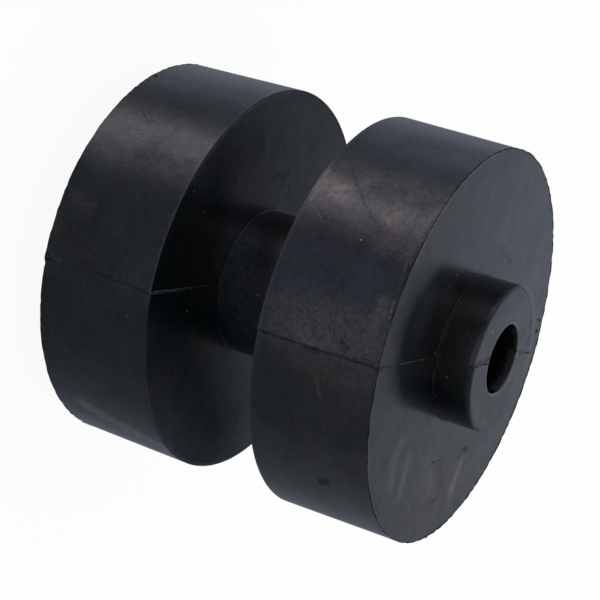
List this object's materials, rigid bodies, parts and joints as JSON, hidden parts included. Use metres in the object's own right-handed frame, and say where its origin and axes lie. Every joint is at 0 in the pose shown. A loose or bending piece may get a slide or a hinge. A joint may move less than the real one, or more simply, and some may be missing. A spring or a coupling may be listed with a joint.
{
  "type": "boat trailer roller",
  "caption": "Moulded rubber boat trailer roller: wide flanges on a narrow hub, a short boss at each end and a through bore for a steel spindle.",
  "frame": {"origin": "centre of the end face of the lower boss, on the bore's axis, where the roller stands", "axes": "+Z along the bore, up from the end that the roller stands on; the mould's parting plane is the YZ plane"},
  "size_m": [0.1208, 0.122, 0.1335],
  "materials": {
    "rubber": "smooth moulded rubber, satin"
  },
  "bodies": {
    "root": {"roller": "rubber"}
  },
  "joints": []
}
